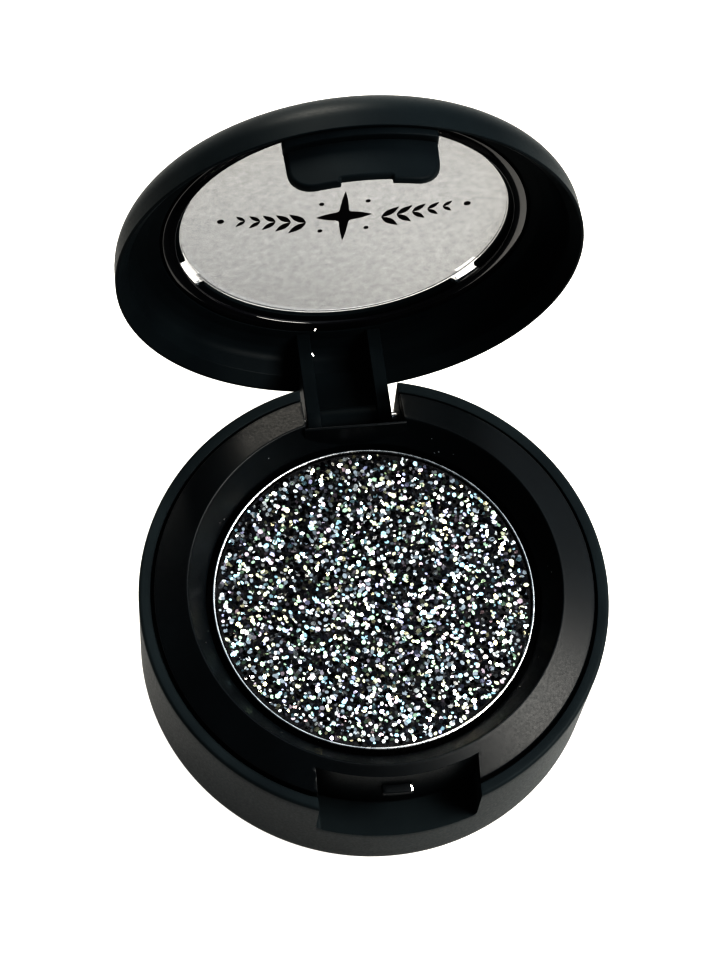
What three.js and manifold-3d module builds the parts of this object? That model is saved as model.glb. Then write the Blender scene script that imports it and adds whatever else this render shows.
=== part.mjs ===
// Single-pan eyeshadow compact: a round moulded base with a drop-in tray and a metal pan,
// and a hinged lid with a clear window. Millimetres, +Z up, origin at the centre of the
// base's underside, hinge at +Y and latch at -Y. The lid stands open on its stop.
import * as THREE from 'three';
import { mergeVertices } from 'three/addons/utils/BufferGeometryUtils.js';
import Module from 'manifold-3d';

const wasm = await Module();
wasm.setup();

// ---------------------------------------------------------------- driving dimensions
const SEGMENTS = 72; // facets round every turned shape
const EMBED = 0.3; // how far a joined piece reaches into its neighbour
const OVERRUN = 2; // how far a cutter runs past what it cuts

// base shell
const OUTER_R = 19.2; // outside radius at the rim
const FOOT_R = 18.8; // outside radius just above the bottom edge
const FOOT_ROUND = 0.6;
const RIM_Z = 11.3; // flat top of the rim
const RIM_INNER_R = 18.2;
const RIM_ROUND = 0.4;
const FLOOR_T = 1.4;
const CUP_INNER_R = 17.6;
const WALL_MIDDLE_R = (CUP_INNER_R + OUTER_R) / 2; // where added blocks end inside the wall
const LEDGE_Z = 10.3; // ledge that the tray's flange hangs on
const SUPPORT_RING = { inner: 11.6, outer: 12.6, top: 5.1 };
const LABEL_GROOVE = { inner: 15.3, outer: 15.7, depth: 0.3 };

// finger notch at the front, closed by the lid's tab
const NOTCH_HALF = 6.55;
const NOTCH_FLOOR_Z = 6.35;
const NOTCH_BACK_R = 16.2;
const NOTCH_CORNER = 0.5;
const NOTCH_WALL = 1.2;
const NOTCH_LAP = 0.3; // gap between the notch's walls and the tray's skirt
const NOTCH_REACH_Y = -12; // how far in the notch's cutters run

// hinge
const PIVOT = { y: 17.24, z: 7.13 };
const OPEN_ANGLE = THREE.MathUtils.degToRad(98);
const PIN_R = 0.55;
const PIN_HALF = 5.5;
const PIN_PRESS_GAP = 0.04; // round the pin in the base's cheeks
const PIN_END_GAP = 0.4; // beyond each end of the pin
const PIN_RUN_GAP = 0.07; // round the pin in the lid's arm
const HINGE_HALF = 4.1; // half width of the slot in the base
const CHEEK_T = 1.6;
const HINGE_FLOOR_Z = 4.4;
const HINGE_BOX_GAP = 0.3; // between the cheeks and the well's flat wall
const STOP_Z = 5.35; // lip that stops the opened arm
const STOP_Y = 18.6;

// tray
const TRAY_R = 17.95; // outside radius of the flange
const TRAY_EDGE_Z = 11.65;
const WELL_R = 15.26; // inner edge of the flange, the highest line of the tray
const WELL_Z = 12.9;
const WELL_EDGE = 0.2; // soft edge along that line
const SEAT_R = 13.6; // socket of the pan
const SEAT_EDGE = 0.15;
const SEAT_TOP_Z = 10.5;
const SEAT_FLOOR_Z = 6.5;
const TRAY_BOTTOM_Z = 5.3;
const TRAY_CUP_R = 14.75;
const FLANGE_GAP = 0.3; // between the flange and the ledge under it
const FLANGE_STEP = 0.6; // depth of the flange's inner underside above that
const CHORD_FOOT_Y = 13.75; // flat wall of the well in front of the hinge, thin at its top
const CHORD_FRONT_Y = 14.2;
const CHORD_BACK_Y = 14.45;
const CHORD_END = 0.15; // how far the flat wall runs into the well's round wall
const CATCH = { half: 1.3, tipR: 16.9, low: 9.8, high: 10.5 };

// pan, its glue and its filling
const PAN_R = 13.2;
const PAN_WALL = 0.25;
const PAN_ROUND = 0.3;
const PAN_BOTTOM_Z = 6.8;
const PAN_RIM_Z = 10.6;
const GLUE = { radius: 11, low: 6.57, high: 6.73 };
const FILL = { radius: 12.8, low: 7.15, edge: 10.4, crownR: 10.2, crown: 10.5 };

// lid, drawn closed; D values are depths above the lid's rim
const LID_R = 19.1;
const LID_RIM_Z = 11.4;
const LID_TOP_D = 5;
const LID_DOME = { centreR: 14.5, centreD: 1.2, halfR: 4.55 };
const LID_CHAMFER = { outerR: 18.85, innerR: 18, depth: 0.9 };
const CREASE = { radius: 17.7, depth: 2.5 };
const LID_FLOOR = [{ radius: 16.1, depth: 3.38 }, { radius: 17, depth: 3.05 }];
const RING_SEAT = { radius: 15.15, low: 3.48, high: 4 };
const LIP = { radius: 13.5, high: 4.4 };
const WINDOW_SEAT_R = 14.8;

// window and its retaining ring
const WINDOW = { radius: 14.6, low: 4.5, high: 5 };
const WINDOW_BEAD = { inner: 13.05, outer: 13.4, low: 4.35 }; // raised edge inside the lip
const RING = { inner: 13.85, outer: 15, low: 3.45, high: 3.9 };
const CLIPS = [{ angle: -65.5, half: 1.8 }, { angle: 50, half: 1.2 }]; // degrees from the hinge side
const CLIP = { inner: 13.68, outer: 14.15, low: 4.0 };
const CLIP_SLOT = { sideGap: 0.2, inner: 13.1, outer: 14.3, low: 3.9, high: 4.45 };

// lid's hinge arm
const RIB = { inner: 2.4, outer: 3.55, frontY: 15.14, topD: 3.5, topBackY: 17.6 };
const ARM_REAR_Y = 18.65;
const KNUCKLE_R = PIVOT.y - RIB.frontY;
const WEB_FRONT_Y = 17.6;
const BARREL_R = 1.25;

// lid's front tab
const TAB = { rootHalf: 6.05, half: 5.9, outerR: 18, innerR: 17.45, endZ: 7.03, topD: 2.3 };
const TAB_CORNER = 2.1; // round corner in the tab's outline
const TAB_EDGE = { radius: 0.72, inset: 0.42, overrun: 0.01 }; // the outer face rolls in at the end
const TAB_RELIEF = { half: 2.02, height: 0.38 };
const TAB_SHOULDER = { outerR: 18.7, low: 10.83, highD: 0.3 };
const BEAD = { half: 1.8, tipR: 17.1, low: 8.1, high: 9.1 };

// ---------------------------------------------------------------- helpers
const point = (x, y) => new THREE.Vector2(x, y);

function arc(centreX, centreY, radius, fromDeg, toDeg, steps) {
  return Array.from({ length: steps + 1 }, (_, i) => {
    const angle = THREE.MathUtils.degToRad(fromDeg + ((toDeg - fromDeg) * i) / steps);
    return point(centreX + radius * Math.cos(angle), centreY + radius * Math.sin(angle));
  });
}

// A closed mesh as a manifold solid, without the zero-area faces that meet on an axis.
function solid(source) {
  const plain = new THREE.BufferGeometry();
  plain.setAttribute('position', source.getAttribute('position'));
  plain.setIndex(source.index);
  const merged = mergeVertices(plain, 1e-5);
  const corners = merged.index.array;
  const kept = [];
  for (let i = 0; i < corners.length; i += 3) {
    const [a, b, c] = [corners[i], corners[i + 1], corners[i + 2]];
    if (a !== b && b !== c && c !== a) kept.push(a, b, c);
  }
  return new wasm.Manifold(new wasm.Mesh({
    numProp: 3,
    vertProperties: Float32Array.from(merged.getAttribute('position').array),
    triVerts: Uint32Array.from(kept),
  }));
}

function meshGeometry(body) {
  const mesh = body.getMesh();
  const geometry = new THREE.BufferGeometry();
  geometry.setAttribute('position', new THREE.BufferAttribute(mesh.vertProperties, 3));
  geometry.setIndex(new THREE.BufferAttribute(mesh.triVerts, 1));
  geometry.computeVertexNormals();
  return geometry;
}

// Turned about Z from [radius, height] points, drawn anticlockwise.
function turned(points, closed = false) {
  const profile = closed ? [...points, points[0]] : points;
  return solid(new THREE.LatheGeometry(profile, SEGMENTS).rotateX(Math.PI / 2));
}

// An annulus, or a disc when the inner radius is 0.
function ring(inner, outer, low, high) {
  const outline = [point(inner, low), point(outer, low), point(outer, high), point(inner, high)];
  return turned(outline, inner > 0);
}

function box(low, high) {
  const [sx, sy, sz] = low.map((value, i) => high[i] - value);
  const geometry = new THREE.BoxGeometry(sx, sy, sz);
  return solid(geometry.translate(low[0] + sx / 2, low[1] + sy / 2, low[2] + sz / 2));
}

// A block round the front of the compact, for trimming rings to a width and a height.
const frontBlock = (half, low, high) => box([-half, -OUTER_R - 1, low], [half, NOTCH_REACH_Y, high]);

// An outline in the XZ plane, pushed through from y0 to y1.
function pushedAlongY(points, y0, y1) {
  const shape = new THREE.Shape(points);
  const geometry = new THREE.ExtrudeGeometry(shape, { depth: y1 - y0, bevelEnabled: false });
  return solid(geometry.rotateX(Math.PI / 2).translate(0, y1, 0));
}

// An outline in the YZ plane, pushed through from x0 to x1.
function pushedAlongX(points, x0, x1) {
  const shape = new THREE.Shape(points);
  const geometry = new THREE.ExtrudeGeometry(shape, { depth: x1 - x0, bevelEnabled: false });
  geometry.rotateX(Math.PI / 2).rotateZ(Math.PI / 2);
  return solid(geometry.translate(x0, 0, 0));
}

// A round bar along X through the pivot.
function hingeBar(radius, half) {
  const bar = new THREE.CylinderGeometry(radius, radius, 2 * half, 32);
  return solid(bar.rotateZ(Math.PI / 2).translate(0, PIVOT.y, PIVOT.z));
}

// ---------------------------------------------------------------- base
function baseShell() {
  const cup = turned([
    point(0, 0),
    point(LABEL_GROOVE.inner, 0),
    point(LABEL_GROOVE.inner, LABEL_GROOVE.depth),
    point(LABEL_GROOVE.outer, LABEL_GROOVE.depth),
    point(LABEL_GROOVE.outer, 0),
    ...arc(FOOT_R - FOOT_ROUND, FOOT_ROUND, FOOT_ROUND, -90, 0, 4),
    ...arc(OUTER_R - RIM_ROUND, RIM_Z - RIM_ROUND, RIM_ROUND, 0, 90, 4),
    point(RIM_INNER_R, RIM_Z),
    point(RIM_INNER_R, LEDGE_Z),
    point(CUP_INNER_R, LEDGE_Z),
    point(CUP_INNER_R, FLOOR_T),
    point(SUPPORT_RING.outer, FLOOR_T),
    point(SUPPORT_RING.outer, SUPPORT_RING.top),
    point(SUPPORT_RING.inner, SUPPORT_RING.top),
    point(SUPPORT_RING.inner, FLOOR_T),
    point(0, FLOOR_T),
  ]);
  return cup
    .add(notchShelf())
    .subtract(notchCutter())
    .add(hingeBox())
    .subtract(hingeCutter())
    .subtract(hingeBar(PIN_R + PIN_PRESS_GAP, PIN_HALF + PIN_END_GAP));
}

// Floor and side walls of the finger notch, inside the cup.
function notchShelf() {
  const half = NOTCH_HALF + NOTCH_WALL;
  const low = NOTCH_FLOOR_Z - NOTCH_WALL;
  const shelf = ring(NOTCH_BACK_R - 3 * NOTCH_LAP, WALL_MIDDLE_R, low, NOTCH_FLOOR_Z);
  const cheeks = ring(NOTCH_BACK_R + NOTCH_LAP, WALL_MIDDLE_R, NOTCH_FLOOR_Z - EMBED, LEDGE_Z);
  return shelf.add(cheeks).intersect(frontBlock(half, low - 1, LEDGE_Z + 1));
}

// Opening with small round corners at its floor.
function notchCutter() {
  const low = NOTCH_FLOOR_Z;
  const inner = NOTCH_HALF - NOTCH_CORNER;
  const outline = [
    point(-NOTCH_HALF, RIM_Z + OVERRUN),
    ...arc(-inner, low + NOTCH_CORNER, NOTCH_CORNER, 180, 270, 4),
    ...arc(inner, low + NOTCH_CORNER, NOTCH_CORNER, 270, 360, 4),
    point(NOTCH_HALF, RIM_Z + OVERRUN),
  ];
  return pushedAlongY(outline, -OUTER_R - OVERRUN, NOTCH_REACH_Y);
}

// Two cheeks and a floor that hold the hinge pin, inside the cup.
function hingeBox() {
  const half = HINGE_HALF + CHEEK_T;
  const frontY = CHORD_BACK_Y + HINGE_BOX_GAP;
  const block = box([-half, frontY, FLOOR_T - EMBED], [half, OUTER_R, LEDGE_Z]);
  return block.intersect(ring(0, WALL_MIDDLE_R, 0, RIM_Z));
}

function hingeCutter() {
  const outline = [
    point(CHORD_BACK_Y, HINGE_FLOOR_Z),
    point(STOP_Y, HINGE_FLOOR_Z),
    point(STOP_Y, STOP_Z),
    point(OUTER_R + OVERRUN, STOP_Z),
    point(OUTER_R + OVERRUN, RIM_Z + OVERRUN),
    point(CHORD_BACK_Y, RIM_Z + OVERRUN),
  ];
  return pushedAlongX(outline, -HINGE_HALF, HINGE_HALF);
}

// ---------------------------------------------------------------- tray
function tray() {
  const flangeHigh = LEDGE_Z + FLANGE_GAP + FLANGE_STEP;
  const body = turned([
    point(0, TRAY_BOTTOM_Z),
    point(TRAY_CUP_R, TRAY_BOTTOM_Z),
    point(TRAY_CUP_R, flangeHigh),
    point(CUP_INNER_R - FLANGE_STEP, LEDGE_Z + FLANGE_STEP),
    point(CUP_INNER_R - FLANGE_GAP, LEDGE_Z + FLANGE_GAP),
    point(TRAY_R, LEDGE_Z + FLANGE_GAP),
    point(TRAY_R, TRAY_EDGE_Z),
    point(WELL_R + WELL_EDGE, WELL_Z - WELL_EDGE / 4),
    point(WELL_R, WELL_Z),
    point(WELL_R - WELL_EDGE / 2, WELL_Z - WELL_EDGE / 2),
    point(SEAT_R + SEAT_EDGE, SEAT_TOP_Z + SEAT_EDGE),
    point(SEAT_R, SEAT_TOP_Z),
    point(SEAT_R, SEAT_FLOOR_Z),
    point(0, SEAT_FLOOR_Z),
  ]);
  const skirt = ring(TRAY_CUP_R - EMBED, NOTCH_BACK_R, NOTCH_FLOOR_Z + NOTCH_LAP, flangeHigh)
    .intersect(frontBlock(NOTCH_HALF + 3 * NOTCH_LAP, 0, RIM_Z));
  const notch = frontBlock(NOTCH_HALF, 0, WELL_Z + OVERRUN)
    .subtract(ring(0, NOTCH_BACK_R, 0, WELL_Z + OVERRUN));
  const hingeGap = box([-HINGE_HALF, CHORD_BACK_Y, 0], [HINGE_HALF, OUTER_R, WELL_Z + OVERRUN]);
  return body
    .add(skirt)
    .subtract(notch)
    .add(chordWall())
    .subtract(hingeGap)
    .add(catchNub());
}

// Flat wall that closes the well in front of the hinge arm.
function chordWall() {
  const half = HINGE_HALF + CHORD_END;
  const outline = [
    point(CHORD_FOOT_Y, SEAT_TOP_Z),
    point(CHORD_BACK_Y, SEAT_TOP_Z),
    point(CHORD_BACK_Y, WELL_Z),
    point(CHORD_FRONT_Y, WELL_Z),
  ];
  return pushedAlongX(outline, -half, half);
}

// Ledge on the back of the notch that the lid's bead snaps under.
function catchNub() {
  const { half, tipR, low, high } = CATCH;
  return ring(NOTCH_BACK_R - EMBED, tipR, low, high).intersect(frontBlock(half, low - 1, high + 1));
}

// ---------------------------------------------------------------- pan
function pan() {
  return turned([
    point(0, PAN_BOTTOM_Z),
    ...arc(PAN_R - PAN_ROUND, PAN_BOTTOM_Z + PAN_ROUND, PAN_ROUND, -90, 0, 2),
    point(PAN_R, PAN_RIM_Z),
    point(PAN_R - PAN_WALL, PAN_RIM_Z),
    point(PAN_R - PAN_WALL, PAN_BOTTOM_Z + PAN_WALL),
    point(0, PAN_BOTTOM_Z + PAN_WALL),
  ]);
}

function glitterFill() {
  return turned([
    point(0, FILL.low),
    point(FILL.radius, FILL.low),
    point(FILL.radius, FILL.edge),
    point(FILL.crownR, FILL.crown),
    point(0, FILL.crown),
  ]);
}

// ---------------------------------------------------------------- lid, closed
const lidPoint = (radius, depth) => point(radius, LID_RIM_Z + depth);
const lidRing = (inner, outer, low, high) => ring(inner, outer, LID_RIM_Z + low, LID_RIM_Z + high);

function lidDome() {
  const { centreR, centreD, halfR } = LID_DOME;
  const steps = 7;
  return Array.from({ length: steps + 1 }, (_, i) => {
    const angle = (Math.PI / 2) * (i / steps);
    const radius = centreR + halfR * Math.cos(angle);
    return lidPoint(radius, centreD + (LID_TOP_D - centreD) * Math.sin(angle));
  }).filter((place) => place.x > WINDOW_SEAT_R);
}

function lidShell() {
  const body = turned([
    lidPoint(LIP.radius, RING_SEAT.high),
    lidPoint(RING_SEAT.radius, RING_SEAT.high),
    lidPoint(RING_SEAT.radius, RING_SEAT.low),
    ...LID_FLOOR.map(({ radius, depth }) => lidPoint(radius, depth)),
    lidPoint(CREASE.radius, CREASE.depth),
    lidPoint(LID_CHAMFER.innerR, LID_CHAMFER.depth),
    lidPoint(LID_CHAMFER.outerR, 0),
    lidPoint(LID_R, 0),
    ...lidDome(),
    lidPoint(WINDOW_SEAT_R, LID_TOP_D),
    lidPoint(WINDOW_SEAT_R, LIP.high),
    lidPoint(LIP.radius, LIP.high),
  ], true);
  return body
    .add(frontTab())
    .subtract(clipSlots())
    .add(hingeArm())
    .subtract(hingeBar(PIN_R + PIN_RUN_GAP, RIB.outer + OVERRUN));
}

// Two deep ribs, the web between them and the barrel round the pin.
function hingeArm() {
  const bottom = LID_RIM_Z + LID_CHAMFER.depth;
  const rearAngle = -THREE.MathUtils.radToDeg(Math.acos((ARM_REAR_Y - PIVOT.y) / KNUCKLE_R));
  const rib = [
    point(RIB.frontY, LID_RIM_Z + RIB.topD),
    ...arc(PIVOT.y, PIVOT.z, KNUCKLE_R, 180, 360 + rearAngle, 10),
    point(ARM_REAR_Y, bottom),
    point(RIB.topBackY, LID_RIM_Z + RIB.topD),
  ];
  const half = RIB.inner + EMBED;
  const web = box([-half, WEB_FRONT_Y, PIVOT.z], [half, ARM_REAR_Y, bottom]);
  return pushedAlongX(rib, -RIB.outer, -RIB.inner)
    .add(pushedAlongX(rib, RIB.inner, RIB.outer))
    .add(web)
    .add(hingeBar(BARREL_R, half));
}

// Curved tab that closes the finger notch, with a shoulder under the rim and a bead inside.
function frontTab() {
  const { rootHalf, half, outerR, innerR, endZ, topD } = TAB;
  const inner = half - TAB_CORNER;
  const cornerZ = endZ + TAB_CORNER;
  const outline = [
    point(-rootHalf, LID_RIM_Z + topD),
    point(-rootHalf, LID_RIM_Z),
    ...arc(-inner, cornerZ, TAB_CORNER, 180, 270, 8),
    point(-TAB_RELIEF.half, endZ),
    point(-TAB_RELIEF.half, endZ + TAB_RELIEF.height),
    point(TAB_RELIEF.half, endZ + TAB_RELIEF.height),
    point(TAB_RELIEF.half, endZ),
    ...arc(inner, cornerZ, TAB_CORNER, 270, 360, 8),
    point(rootHalf, LID_RIM_Z),
    point(rootHalf, LID_RIM_Z + topD),
  ];
  const section = [
    point(innerR, endZ - TAB_EDGE.overrun),
    point(outerR - TAB_EDGE.inset, endZ - TAB_EDGE.overrun),
    point(outerR - TAB_EDGE.inset / 3, endZ + TAB_EDGE.radius / 3),
    point(outerR, endZ + TAB_EDGE.radius),
    point(outerR, TAB_SHOULDER.low),
    point(TAB_SHOULDER.outerR, TAB_SHOULDER.low),
    point(TAB_SHOULDER.outerR, LID_RIM_Z + TAB_SHOULDER.highD),
    point(outerR, LID_RIM_Z + topD),
    point(innerR, LID_RIM_Z + topD),
  ];
  const blade = turned(section, true).intersect(pushedAlongY(outline, -OUTER_R, NOTCH_REACH_Y));
  const bead = ring(BEAD.tipR, outerR - EMBED, BEAD.low, BEAD.high)
    .intersect(frontBlock(BEAD.half, BEAD.low - 1, BEAD.high + 1));
  return blade.add(bead);
}

// ---------------------------------------------------------------- window
// A block at one of the window's clips, spanning the given radii and depths.
function clipBlock(angle, half, innerR, outerR, lowD, highD) {
  const block = new THREE.BoxGeometry(2 * half, outerR - innerR, highD - lowD);
  block.translate(0, (innerR + outerR) / 2, LID_RIM_Z + (lowD + highD) / 2);
  return solid(block.rotateZ(THREE.MathUtils.degToRad(-angle)));
}

function clipSlots() {
  const { sideGap, inner, outer, low, high } = CLIP_SLOT;
  return CLIPS
    .map(({ angle, half }) => clipBlock(angle, half + sideGap, inner, outer, low, high))
    .reduce((cutters, next) => cutters.add(next));
}

function lidWindow() {
  const disc = lidRing(0, WINDOW.radius, WINDOW.low, WINDOW.high)
    .add(lidRing(WINDOW_BEAD.inner, WINDOW_BEAD.outer, WINDOW_BEAD.low, WINDOW.high));
  const { inner, outer, low } = CLIP;
  return CLIPS
    .map(({ angle, half }) => clipBlock(angle, half, inner, outer, low, WINDOW.low + EMBED))
    .reduce((body, clip) => body.add(clip), disc);
}

const windowRing = () => lidRing(RING.inner, RING.outer, RING.low, RING.high);

// ---------------------------------------------------------------- assembly
const MATERIALS = {
  matteBlack: { color: 0x17181a, roughness: 0.55, metalness: 0 },
  glossBlack: { color: 0x08080a, roughness: 0.12, metalness: 0 },
  clear: { color: 0xdfe4e6, roughness: 0.08, metalness: 0, transparent: true, opacity: 0.4 },
  tinplate: { color: 0xc9ccd0, roughness: 0.3, metalness: 1 },
  steel: { color: 0xb8babd, roughness: 0.25, metalness: 1 },
  glitter: { color: 0x55585f, roughness: 0.3, metalness: 0.4 },
  adhesive: { color: 0xe8e4d8, roughness: 0.8, metalness: 0 },
};

function part(name, body, look) {
  const material = new THREE.MeshStandardMaterial(MATERIALS[look]);
  const mesh = new THREE.Mesh(meshGeometry(body), material);
  mesh.name = name;
  return mesh;
}

const compact = new THREE.Group();
compact.add(
  part('base_shell', baseShell(), 'matteBlack'),
  part('pan_tray', tray(), 'matteBlack'),
  part('pan_adhesive', ring(0, GLUE.radius, GLUE.low, GLUE.high), 'adhesive'),
  part('metal_pan', pan(), 'tinplate'),
  part('glitter_fill', glitterFill(), 'glitter'),
  part('hinge_pin', hingeBar(PIN_R, PIN_HALF), 'steel'),
);

// The lid's pieces are drawn closed and turn about the pin.
const closedLid = new THREE.Group();
closedLid.position.set(0, -PIVOT.y, -PIVOT.z);
closedLid.add(
  part('lid_shell', lidShell(), 'matteBlack'),
  part('lid_window', lidWindow(), 'clear'),
  part('window_ring', windowRing(), 'glossBlack'),
);
const openLid = new THREE.Group();
openLid.position.set(0, PIVOT.y, PIVOT.z);
openLid.rotation.x = -OPEN_ANGLE;
openLid.add(closedLid);
compact.add(openLid);

export default compact;
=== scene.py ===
"""Looks of a round single-pan eyeshadow compact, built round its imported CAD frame."""
import math
import random

import bmesh
import bpy
from mathutils import Matrix, Vector


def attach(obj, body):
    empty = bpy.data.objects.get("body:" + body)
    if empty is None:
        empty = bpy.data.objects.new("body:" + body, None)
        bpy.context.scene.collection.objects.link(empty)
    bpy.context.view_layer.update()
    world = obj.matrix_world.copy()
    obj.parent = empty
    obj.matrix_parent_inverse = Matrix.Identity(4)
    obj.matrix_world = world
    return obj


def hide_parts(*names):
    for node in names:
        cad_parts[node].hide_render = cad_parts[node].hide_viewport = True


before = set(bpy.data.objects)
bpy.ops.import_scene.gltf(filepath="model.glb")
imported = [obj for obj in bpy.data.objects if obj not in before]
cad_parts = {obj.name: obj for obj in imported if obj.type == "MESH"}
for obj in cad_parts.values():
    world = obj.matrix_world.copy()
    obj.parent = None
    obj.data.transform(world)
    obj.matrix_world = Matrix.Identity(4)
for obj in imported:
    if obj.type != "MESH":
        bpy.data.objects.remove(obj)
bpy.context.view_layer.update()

# ---------------------------------------------------------------- sizes, in millimetres
MM = 0.001
SEGMENTS = 224  # facets round the turned pieces
SMOOTH_ANGLE = math.radians(38)  # edges that turn by more stay sharp
TUCK = 0.04  # how far a joined piece stays inside the surface that it meets
OVERRUN = 2  # how far a cutter runs past what it cuts
HAIR, SLIT, CRUMB = 1e-5, 2e-4, 0.004  # how near counts as one: in bends, after cuts, before bevels

OUTER_R = 19.2
FOOT_R = 18.8
RIM_Z = 11.3
RIM_INNER_R = 18.2
FLOOR_T = 1.4
CUP_INNER_R = 17.6
WALL_MIDDLE_R = (CUP_INNER_R + OUTER_R) / 2
LEDGE_Z = 10.3
SUPPORT_RING = (11.6, 12.6, 5.1)  # inner radius, outer radius, top
LABEL_GROOVE = (15.3, 15.7, 0.3)  # inner radius, outer radius, depth

NOTCH_HALF = 6.55
NOTCH_FLOOR_Z = 6.35
NOTCH_BACK_R = 16.2
NOTCH_LAP = 0.3  # gap between the notch's walls and the tray's skirt
NOTCH_WALL = 1.2
NOTCH_CORNER = 0.5
NOTCH_EDGE, CUT_EDGE = 0.14, 0.1  # soft edges round the cut openings
NOTCH_REACH_Y = -12  # how far in the cutters and trims at the notch run
CATCH = {"half": 1.3, "tip_r": 16.9, "low": 9.8, "high": 10.5}

PIVOT_Y, PIVOT_Z = 17.24, 7.13
OPEN_ANGLE = math.radians(98)
PIN_R, PIN_HALF, PIN_CHAMFER = 0.55, 5.5, 0.12
PIN_PRESS_GAP, PIN_RUN_GAP = 0.04, 0.07  # round the pin in the cheeks and in the lid's arm
HOLE_STEPS = 44
HINGE_HALF = 4.1
CHEEK_T = 1.6
HINGE_FLOOR_Z = 4.4
STOP_Y, STOP_Z = 18.6, 5.35

TRAY_R, TRAY_EDGE_Z = 17.95, 11.65
WELL_R, WELL_Z = 15.26, 12.9
SEAT_R, SEAT_TOP_Z, SEAT_FLOOR_Z = 13.6, 10.5, 6.5
SEAT_MOUTH_R = SEAT_R + 0.1  # the socket's top edge
CUT_TOP_Z = WELL_Z + 3  # where the cutters end, clear above the tray
TRAY_BOTTOM_Z, TRAY_CUP_R = 5.3, 14.75
TRAY_NECK_Z = LEDGE_Z + 0.9  # where the cup meets the flange
CHORD_FOOT_Y, CHORD_FRONT_Y, CHORD_BACK_Y, CHORD_END = 13.75, 14.2, 14.45, 0.15

PAN_R, PAN_WALL = 13.2, 0.25
PAN_BOTTOM_Z, PAN_RIM_Z = 6.8, 10.6
GLUE_R, GLUE_LOW, GLUE_HIGH, GLUE_SEGMENTS = 11, 6.57, 6.73, 96
FILL_R, FILL_LOW, FILL_EDGE_Z, FILL_CROWN_Z = 12.85, 7.15, 10.36, 10.45
BED_RINGS, BED_SEGMENTS, BED_CROWDING = 56, 160, 0.8  # rings crowd towards the edge
BED_WAVES = 14
WAVE_LIMITS = ((0.25, 1.1), (0, 6.3), (0, 6.3), (0.006, 0.014))  # rate, heading, start, size
WAVE_RATE, WAVE_SIZE, BED_SINK = 3, 0.6, 0.04

LID_R, LID_RIM_Z, LID_TOP_D = 19.1, 11.4, 4.99
DOME_CENTRE_R, DOME_CENTRE_D, DOME_HALF_R = 14.5, 1.2, 4.55
RING_SEAT_R, RING_SEAT_LOW, RING_SEAT_HIGH = 15.15, 3.48, 4
LIP_R, LIP_HIGH = 13.5, 4.4
WINDOW_SEAT_R = 14.8
WINDOW_R, WINDOW_LOW, WINDOW_HIGH = 14.6, 4.5, 5
RING_INNER, RING_OUTER, RING_LOW, RING_HIGH = 13.85, 15, 3.45, 3.9
BEAD_INNER, BEAD_OUTER, BEAD_D = 13.05, 13.4, 4.35  # raised edge of the window inside the lip
FROST_R = 14.1  # the pane's outermost edge is left clear, and so are its clips
PRINT_Y, PRINT_T = -0.4, 0.02
CLIPS = ((-65.5, 1.8), (50, 1.2))  # degrees from the hinge side, half width
CLIP_INNER, CLIP_OUTER, CLIP_LOW = 13.68, 14.15, 4.0
CLIP_FOOT_R = CLIP_INNER - 0.05  # a ring of the pane's points that passes just inside the clips
CLIP_SLOT = {"gap": 0.2, "inner": 13.1, "outer": 14.3, "low": 3.9}

RIB_INNER, RIB_OUTER, RIB_FRONT_Y, RIB_TOP_D, RIB_TOP_BACK_Y = 2.4, 3.55, 15.14, 3.5, 17.6
ARM_REAR_Y, ARM_FOOT_D, ARM_EDGE = 18.65, 0.9, 0.1
KNUCKLE_R = PIVOT_Y - RIB_FRONT_Y
WEB_FRONT_Y = 17.6
BARREL_R = 1.25

TAB_ROOT_HALF, TAB_HALF, TAB_CORNER = 6.05, 5.9, 2.1
TAB_INNER_R, TAB_OUTER_R, TAB_END_Z = 17.45, 18, 7.03
TAB_RELIEF_HALF, TAB_RELIEF_HIGH = 2.02, 0.38
TAB_TOP_D, TAB_FILLET, TAB_ROLL = 2.3, 0.12, 0.32
SHOULDER_R, SHOULDER_LOW = 18.7, 10.83
BEAD_HALF, BEAD_TIP_R, BEAD_LOW, BEAD_HIGH = 1.8, 17.1, 8.1, 9.1

# The lid is drawn closed and then turned back about the hinge pin.
OPEN_LID = (
    Matrix.Translation((0, PIVOT_Y, PIVOT_Z))
    @ Matrix.Rotation(-OPEN_ANGLE, 4, "X")
    @ Matrix.Translation((0, -PIVOT_Y, -PIVOT_Z))
)


# ---------------------------------------------------------------- outlines
def arc(centre_x, centre_y, radius, start, end, steps):
    """Points of an arc from start to end, in degrees."""
    angles = [math.radians(start + (end - start) * i / steps) for i in range(steps + 1)]
    return [(centre_x + radius * math.cos(a), centre_y + radius * math.sin(a)) for a in angles]


def rectangle(left, low, right, high):
    return [(left, low), (right, low), (right, high), (left, high)]


def rounded(corners, steps=5):
    """An outline whose corners may state a fillet radius as their third value."""
    points = []
    for i, corner in enumerate(corners):
        here = Vector(corner[:2])
        if len(corner) < 3:
            points.append(here)
            continue
        before = (Vector(corners[i - 1][:2]) - here).normalized()
        after = (Vector(corners[(i + 1) % len(corners)][:2]) - here).normalized()
        half = before.angle(after) / 2
        centre = here + (before + after).normalized() * corner[2] / math.sin(half)
        start = here + before * corner[2] / math.tan(half) - centre
        turn = math.pi - 2 * half
        sign = 1 if before.cross(after) < 0 else -1
        for k in range(steps + 1):
            points.append(centre + Matrix.Rotation(sign * turn * k / steps, 2) @ start)
    return [(p[0], p[1]) for p in points]


def stretch(start, end, steps):
    """Points between two corners, ends left out: narrow faces keep the shading near a cut even."""
    shares = [k / steps for k in range(1, steps)]
    return [tuple(a + (b - a) * share for a, b in zip(start, end)) for share in shares]


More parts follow.
